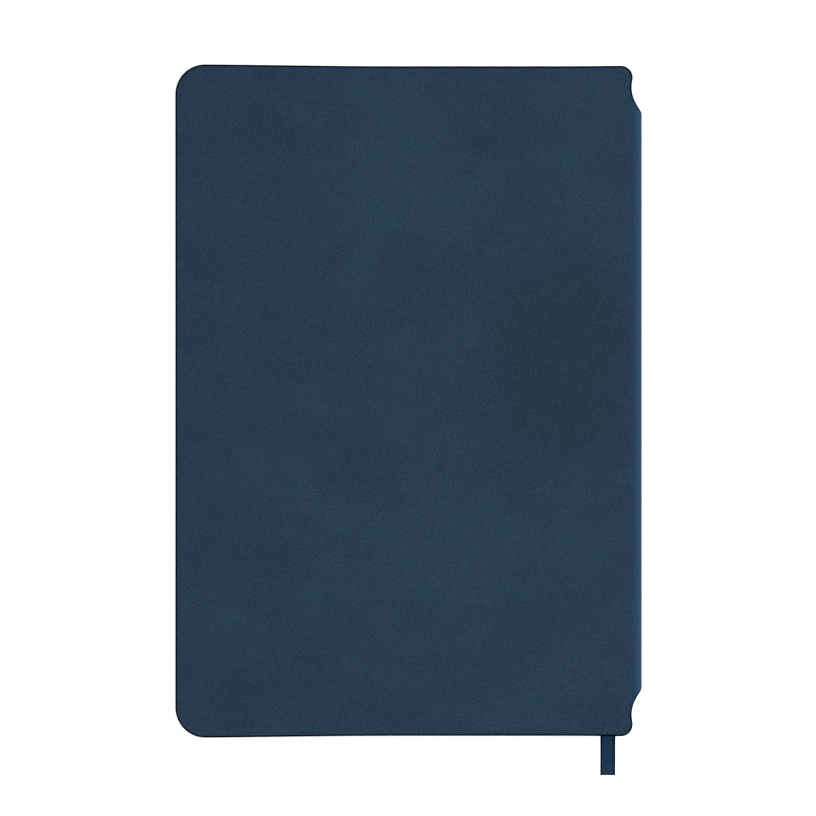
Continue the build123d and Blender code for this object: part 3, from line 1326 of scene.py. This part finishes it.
@dataclass
class EndpaperHinge:
    """The loop of endpaper that joins the back of the block to one cover's pastedown."""

    side: Side
    sizes: BookSizes
    paper: float = 0.15 * MM
    loop_radius: float = 0.9 * MM
    loop_lean: float = 40.0
    loop_run: float = 0.5 * MM
    foot_radius: float = 1.0 * MM
    loop_steps: int = 14
    foot_steps: int = 6
    row_step: float = 2.0 * MM
    turn_point: int = 2
    turn_gap: float = 0.025 * MM
    turn_run: float = 0.09 * MM
    turn_rise: float = 0.02 * MM

    def path(self, low: Vector, high: Vector) -> list[Flat]:
        """The loop's middle line as (x, z), on the back cover's side.

        Args:
            low: the loop's lowest corner.
            high: its highest corner.

        Returns:
            Points from the end of the pastedown to the foot of the loop on the lining.
        """
        top = high.z - self.paper / 2
        centre = (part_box("back_pastedown")[1].x + self.loop_run, top - self.loop_radius)
        loop = arc(centre, self.loop_radius, 90, -self.loop_lean, self.loop_steps)
        lean = math.radians(self.loop_lean)
        foot_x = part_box("spine_lining")[1].x + self.paper / 2
        slant = (loop[-1][0] - foot_x - self.foot_radius * (1 - math.cos(lean))) / math.sin(lean)
        slant_end = (loop[-1][0] - slant * math.sin(lean), loop[-1][1] - slant * math.cos(lean))
        foot_centre = (foot_x + self.foot_radius, slant_end[1] - self.foot_radius * math.sin(lean))
        foot = arc(foot_centre, self.foot_radius, 180 - self.loop_lean, 180, self.foot_steps)
        return [(centre[0] - self.loop_run, top)] + loop + foot + [(foot_x, low.z)]

    def build(self, material: bpy.types.Material) -> bpy.types.Object:
        """Builds the loop.

        Args:
            material: the endpaper.

        Returns:
            The piece.
        """
        low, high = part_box("back_endpaper_hinge")
        path = self.path(low, high)
        front = self.side is Side.FRONT
        draft = MeshDraft()
        count = round((high.y - low.y) / self.row_step)
        heights = [low.y + (high.y - low.y) * k / count for k in range(count + 1)]
        walls = []
        for face in (1, -1):
            rows = []
            for k, (x, z) in enumerate(path):
                along = heading(path, k)
                px, pz = x - along.y * face * self.paper / 2, z + along.x * face * self.paper / 2
                pz = self.sizes.thickness - pz if front else pz
                rows.append([draft.add((px, y, pz), (k * MM, y, float(face))) for y in heights])
            walls.append(rows)
        upper, lower = walls
        for rows, turned in ((upper, False), (lower, True)):
            for first, second in zip(rows, rows[1:]):
                draft.strip(*((second, first) if turned else (first, second)))
        for ends in (0, -1):
            first, second = [row[ends] for row in upper], [row[ends] for row in lower]
            draft.strip(*((first, second) if ends == -1 else (second, first)))
        draft.strip(upper[0], lower[0])
        draft.strip(lower[-1], upper[-1])
        made = draft.piece(f"{self.side.word}_hinge_paper", material, flip=not front)
        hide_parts(f"{self.side.word}_endpaper_hinge")
        still_x, still_z = path[self.turn_point][0] - self.turn_gap, path[self.turn_point][1]
        turned_x, turned_z = still_x - self.turn_run, still_z + self.turn_rise
        still_end, turned_end = [
            (x, 0.0, self.sizes.thickness - z if front else z)
            for x, z in ((still_x, still_z), (turned_x, turned_z))
        ]
        self.side.bend(made, f"{self.side.word}_cover", still_end, turned_end)
        return made


# -------------------------------------------------------------------- back of the block


@dataclass
class HeadBand:
    """A corded bead on one end of the block, with its tape."""

    node: str
    ridge_pitch: float = 0.42 * MM
    ridge_depth: float = 0.045 * MM
    ridge_steps: int = 6
    radius: float = 0.7 * MM
    bead_end: float = 335.0
    turns: int = 20
    tape: float = 0.3 * MM
    tape_drop: float = 0.45 * MM
    shoulder: float = 0.5 * MM
    shoulder_steps: int = 5

    def build(self, material: bpy.types.Material) -> bpy.types.Object:
        """Builds the band as one closed ribbed bead with its tape.

        Args:
            material: the cotton.

        Returns:
            The piece, which rides the block.
        """
        low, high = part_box(self.node)
        head = high.y > 0
        sign = 1 if head else -1
        bead_top, tape_end = (high.y, low.y) if head else (-low.y, -high.y)
        centre = (low.x + self.radius, bead_top - self.radius)
        tape_inner = high.x - self.tape
        outline = arc(centre, self.radius, 90, self.bead_end, self.turns)
        outline += [(tape_inner, centre[1] - self.tape_drop), (tape_inner, tape_end), (high.x, tape_end)]
        turn_centre = (high.x - self.shoulder, bead_top - self.shoulder)
        outline += arc(turn_centre, self.shoulder, 0, 90, self.shoulder_steps)
        count = round((high.z - low.z) / self.ridge_pitch) * self.ridge_steps
        draft = MeshDraft()
        rows = []
        for k in range(count + 1):
            z = low.z + (high.z - low.z) * k / count
            wave = math.cos(2 * math.pi * (z - low.z) / self.ridge_pitch)
            row = []
            for n, (x, y) in enumerate(outline):
                if n <= self.turns:
                    pull = self.ridge_depth * (1 - wave) / 2
                    way = Vector((x - centre[0], y - centre[1])).normalized() * pull
                    x, y = x - way.x, y - way.y
                row.append(draft.add((x, sign * y, z), (x, sign * y, z)))
            rows.append(row)
        draft.closed_run(rows)
        made = draft.piece(f"{self.node}_cord", material, flip=not head)
        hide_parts(self.node)
        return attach(made, "book_block")


@dataclass
class SewingThread:
    """Two rows of twisted linen thread across the folds."""

    diameter: float = 0.3 * MM
    twist: float = 0.9 * MM
    step: float = 0.12 * MM
    lobe: float = 0.22
    around: int = 10

    def build(self, material: bpy.types.Material) -> bpy.types.Object:
        """Builds both rows as one piece.

        Args:
            material: the linen.

        Returns:
            The piece, which rides the block.
        """
        low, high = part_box("sewing_thread")
        draft = MeshDraft()
        x = (low.x + high.x) / 2
        count = round((high.z - low.z) / self.step)
        for end in (low.y + self.diameter / 2, high.y - self.diameter / 2):
            rows = []
            for k in range(count + 1):
                z = low.z + (high.z - low.z) * k / count
                turn = 2 * math.pi * (z - low.z) / self.twist
                row = []
                for n in range(self.around):
                    angle = 2 * math.pi * n / self.around
                    radius = self.diameter / 2 * (1 - self.lobe * abs(math.sin(angle - turn)))
                    place = (x + radius * math.cos(angle), end + radius * math.sin(angle), z)
                    row.append(draft.add(place, place))
                rows.append(row)
            draft.closed_run(rows)
        made = draft.piece("linen_thread", material)
        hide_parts("sewing_thread")
        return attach(made, "book_block")


@dataclass
class RibbonMarker:
    """The ribbon from its glued tab, over the head band and through the leaves to its free tail."""

    sizes: BookSizes
    straight_tail: float = 2.0 * MM
    droop: float = 18.0
    tab_length: float = 13.0 * MM
    turn_radius: float = 1.5 * MM
    turn_steps: int = 10
    step: float = 0.8 * MM
    fold_step: float = 0.5 * MM
    tab_step: float = 0.7 * MM
    tail_steps: int = 16
    fuzz: float = 0.12 * MM
    half_section: tuple[Flat, ...] = ((0.5, 0.82), (0.84, 0.82), (0.86, 1.0), (0.97, 0.95), (1.0, 0.55))

    def section(self) -> list[Flat]:
        """Places across the ribbon from side to side, each with how thick it is there."""
        far_side = [(-share, thick) for share, thick in reversed(self.half_section)]
        return [*far_side, (0.0, self.half_section[0][1]), *self.half_section]

    def tail_line(self, low: Vector) -> list[tuple[float, float, float]]:
        """The run's middle line.

        Args:
            low: the ribbon's lowest corner.

        Returns:
            Its points as (y, z, slope), from the head to the end of the tail.
        """
        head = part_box("ribbon_marker")[1].y - RIBBON_THICKNESS
        z = self.sizes.middle_z - RIBBON_CLEARANCE - RIBBON_THICKNESS / 2
        droop_start = -(self.sizes.head_y - SQUARE) - self.straight_tail
        count = round((head - droop_start) / self.step)
        path = [(head + (droop_start - head) * k / count, z, 0.0) for k in range(count + 1)]
        slope = math.radians(self.droop)
        run = droop_start - low.y
        radius = run / math.sin(slope)
        for k in range(1, self.tail_steps + 1):
            turn = slope * k / self.tail_steps
            path.append((droop_start - radius * math.sin(turn), z - radius * (1 - math.cos(turn)), turn))
        return path

    def build(self, material: bpy.types.Material) -> bpy.types.Object:
        """Builds the ribbon as a run through the leaves, a fold over the head band and a tab.

        Args:
            material: the satin.

        Returns:
            The piece, which rides the block.
        """
        low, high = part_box("ribbon_marker")
        centre_x = self.sizes.spine_x - RIBBON_INSET
        half = RIBBON_WIDTH / 2
        draft = MeshDraft()
        run = [
            ((centre_x, y, z), (1.0, 0.0, 0.0), (0.0, -math.sin(t), math.cos(t)))
            for y, z, t in self.tail_line(low)
        ]
        self.tube(draft, run, half + self.fuzz, 0.0)
        over_y = high.y - RIBBON_THICKNESS / 2
        bottom = self.sizes.middle_z - RIBBON_CLEARANCE - RIBBON_THICKNESS
        tab_x = high.x - RIBBON_THICKNESS / 2
        tab_low = self.sizes.head_y - SQUARE - self.tab_length
        start = (centre_x + half, over_y)
        corner = (tab_x - self.turn_radius, over_y - self.turn_radius)
        turn = arc(corner, self.turn_radius, 90, 0, self.turn_steps)
        tab_end = (tab_x, tab_low)
        route = [start, *line(start, turn[0], self.fold_step), *turn]
        route += [*line(turn[-1], tab_end, self.tab_step), tab_end]
        over = []
        for k, (x, y) in enumerate(route):
            along = heading(route, k)
            over.append(((x, y, bottom + half), (0.0, 0.0, 1.0), (-along.y, along.x, 0.0)))
        self.tube(draft, over, half, 1.0)
        self.triangle(draft, centre_x - half, centre_x + half, bottom, over_y)
        made = draft.piece("ribbon_strip", material)
        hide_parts("ribbon_marker")
        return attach(made, "book_block")

    def tube(self, draft: MeshDraft, frames: Sequence[tuple], half: float, layer: float) -> None:
        """Adds a flat closed run of ribbon.

        Args:
            draft: where it goes.
            frames: a centre, a direction across and one up for each place along it.
            half: half its width.
            layer: a number that keeps this run's weave apart from the others'.
        """
        rows = []
        section = self.section()
        length = 0.0
        last = None
        total = sum(math.dist(a[0], b[0]) for a, b in zip(frames, frames[1:]))
        for centre, across, up in frames:
            here, across, up = Vector(centre), Vector(across), Vector(up)
            if last is not None:
                length += (here - last).length
            last = here
            row = []
            for face in (1, -1):
                for share, thick in section if face == 1 else reversed(section):
                    rise = face * RIBBON_THICKNESS / 2 * thick
                    place = here + across * share * half + up * rise
                    row.append(draft.add(tuple(place), (share * half, length, layer), edge=total - length))
            rows.append(row)
        draft.closed_run(rows, turned=True)

    def triangle(self, draft: MeshDraft, inner: float, outer: float, bottom: float, over_y: float) -> None:
        """Adds the doubled corner where the ribbon turns from the fold into its run.

        Args:
            draft: where it goes.
            inner: the ribbon's inner side.
            outer: its outer side.
            bottom: its lower face.
            over_y: the middle of the fold along Y.
        """
        corners = [(inner, bottom), (outer, bottom), (outer, bottom + RIBBON_WIDTH)]
        rows = []
        for y in (over_y - RIBBON_THICKNESS / 2, over_y + RIBBON_THICKNESS / 2):
            rows.append([draft.add((x, y, z), (z - bottom - RIBBON_WIDTH / 2, x, 3.0)) for x, z in corners])
        near, far = rows
        draft.faces += [tuple(near), tuple(reversed(far))]
        draft.strip(far + far[:1], near + near[:1])


# -------------------------------------------------------------------- room


@dataclass(frozen=True)
class Studio:
    """The camera, soft lights and pale floor."""

    lens: float = 800.0
    sensor: float = 36.0
    frame_width: float = 255.45 * MM
    centre: Flat = (-0.19 * MM, -2.19 * MM)
    floor_size: float = 6.0
    floor_drop: float = 0.42 * MM
    floor_colour: Colour = (0.93, 0.93, 0.93)
    world_strength: float = 0.34

    def floor(self) -> None:
        """Lays the pale plain floor, just below the book."""
        half = self.floor_size / 2
        mesh = bpy.data.meshes.new("studio_floor")
        low = -self.floor_drop
        corners = [(-half, -half, low), (half, -half, low), (half, half, low), (-half, half, low)]
        mesh.from_pydata(corners, [], [(0, 1, 2, 3)])
        shader = Shader("studio_floor")
        mesh.materials.append(shader.surface(
            Base_Color=(*self.floor_colour, 1.0), Roughness=0.9, Specular_IOR_Level=0.0,
            Emission_Color=(1.0, 1.0, 1.0, 1.0), Emission_Strength=0.55,
        ))
        floor = bpy.data.objects.new("studio_floor", mesh)
        bpy.context.scene.collection.objects.link(floor)

    def lamp(self, name: str, place: Point, size: float, power: float) -> None:
        """Hangs one square soft light that looks at the book.

        Args:
            name: the lamp's name.
            place: where it hangs.
            size: its width.
            power: its power in watts.
        """
        data = bpy.data.lights.new(name, "AREA")
        data.shape, data.size, data.energy = "SQUARE", size, power
        lamp = bpy.data.objects.new(name, data)
        lamp.location = place
        lamp.rotation_mode = "QUATERNION"
        lamp.rotation_quaternion = (-Vector(place)).to_track_quat("-Z", "Y")
        bpy.context.scene.collection.objects.link(lamp)

    def camera(self, top: float) -> None:
        """Sets up the camera straight above the book.

        Args:
            top: the height of the book's top.
        """
        data = bpy.data.cameras.new("main_camera")
        data.lens, data.sensor_width = self.lens, self.sensor
        data.clip_start, data.clip_end = 0.05, 40.0
        camera = bpy.data.objects.new("main_camera", data)
        camera.location = (*self.centre, top + self.frame_width * self.lens / self.sensor)
        bpy.context.scene.collection.objects.link(camera)
        bpy.context.scene.camera = camera

    def build(self, top: float) -> None:
        """Builds the whole room.

        Args:
            top: the height of the book's top.
        """
        scene = bpy.context.scene
        scene.view_settings.view_transform = "Standard"
        world = bpy.data.worlds.new("studio_air")
        world.use_nodes = True
        backdrop = world.node_tree.nodes["Background"]
        backdrop.inputs["Color"].default_value = (1.0, 1.0, 1.0, 1.0)
        backdrop.inputs["Strength"].default_value = self.world_strength
        scene.world = world
        self.floor()
        self.lamp("spine_side_light", (1.3, 0.1, 0.85), size=0.7, power=20.0)
        self.lamp("fore_side_light", (-1.2, 0.9, 1.0), size=0.9, power=12.0)
        self.lamp("tail_light", (0.1, -1.4, 1.0), size=0.9, power=8.0)
        self.camera(top)


# -------------------------------------------------------------------- the book


@dataclass
class Logbook:
    """The whole logbook."""

    sizes: BookSizes
    seed: int = 1903
    loose_names: tuple[str, ...] = ("flyleaf", "leaf_1", "leaf_2", "leaf_3")

    def __post_init__(self) -> None:
        """Reads the leaves' outline and starts the source of small accidents."""
        low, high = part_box("back_leaf_1")
        self.leaf_low, self.leaf_high = low, high
        self.shape = LeafShape(fore_x=low.x, fold_x=high.x, head_y=high.y)
        self.dice = random.Random(self.seed)
        self.finishes()

    def finishes(self) -> None:
        """Makes every material once."""
        low = (self.leaf_low.x, self.leaf_low.y)
        high = (self.leaf_high.x, self.leaf_high.y)
        self.leatherette = Leatherette().material()
        self.ruled = Paper(PaperSide.RULED).material(low, high)
        self.plain = Paper(PaperSide.PLAIN).material(low, high)
        self.satin = Satin().material()
        self.cotton = StripedCotton().material()
        self.card = Card("dark_cover_card", (0.045, 0.047, 0.050), (0.022, 0.023, 0.026)).material()
        self.endpaper = Card(
            "ivory_endpaper", (0.74, 0.70, 0.60), (0.66, 0.62, 0.51), roughness=0.85
        ).material()
        self.kraft = Card("kraft_lining", (0.36, 0.245, 0.14), (0.27, 0.175, 0.095)).material()
        self.gauze = Woven(
            "mull_gauze", (0.62, 0.58, 0.48), (0.30, 0.27, 0.21), pitch=0.9 * MM, relief=0.10 * MM
        ).material()
        self.linen = Woven(
            "linen_thread", (0.70, 0.67, 0.58), (0.5, 0.47, 0.4), pitch=0.2 * MM, relief=0.02 * MM
        ).material()

    def covers(self) -> None:
        """Builds the wrapped skin, with the boards and pastedowns under it."""
        for side in Side:
            skin = CoverSkin(self.sizes, side)
            skin.build(self.leatherette)
            CoverBoard(skin).build(self.card)
            self.paint(f"{side.word}_pastedown", self.endpaper)
            EndpaperHinge(side, self.sizes).build(self.endpaper)
            log.info("%s cover", side.word)

    def leaves(self) -> None:
        """Builds the sewn sections and every leaf that turns."""
        ribbon_low, ribbon_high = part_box("ribbon_marker")
        centre_x = self.sizes.spine_x - RIBBON_INSET
        ribbon_low, ribbon_high = ribbon_low.copy(), ribbon_high.copy()
        ribbon_low.x, ribbon_high.x = centre_x - RIBBON_WIDTH / 2, centre_x + RIBBON_WIDTH / 2
        leaf = self.leaf_high.z - self.leaf_low.z
        sections = Signatures(self.shape, self.dice, leaf, ribbon_low, ribbon_high)
        for number in range(1, SECTION_COUNT + 1):
            sections.build(number, SECTION_COUNT, self.ruled)
            log.info("section %d", number)
        for side in Side:
            for word in self.loose_names:
                is_flyleaf = word == "flyleaf"
                material, slot = (self.plain, "endpaper") if is_flyleaf else (self.ruled, "page_paper")
                LooseLeaf(self.shape, side, word).build(self.dice, material, slot)
            log.info("%s leaves", side.word)

    def back(self) -> None:
        """Builds what is glued and sewn to the back of the block."""
        self.paint("spine_mull", self.gauze)
        self.paint("spine_lining", self.kraft)
        self.paint("spine_strip", self.card)
        for node in ("head_band", "tail_band"):
            HeadBand(node).build(self.cotton)
        SewingThread().build(self.linen)
        RibbonMarker(self.sizes).build(self.satin)
        log.info("spine pieces")

    def paint(self, node: str, material: bpy.types.Material) -> None:
        """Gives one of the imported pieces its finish, without touching its shape.

        Args:
            node: the piece.
            material: its finish.
        """
        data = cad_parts[node].data
        data.materials.clear()
        data.materials.append(material)


def main() -> None:
    """Builds the room and the book in order."""
    logging.basicConfig(level=logging.INFO, format="%(message)s")
    sizes = BookSizes.from_frame()
    book = Logbook(sizes)
    book.covers()
    book.leaves()
    book.back()
    Studio().build(sizes.thickness)
    log.info("sizes written")


if __name__ == "__main__":
    main()
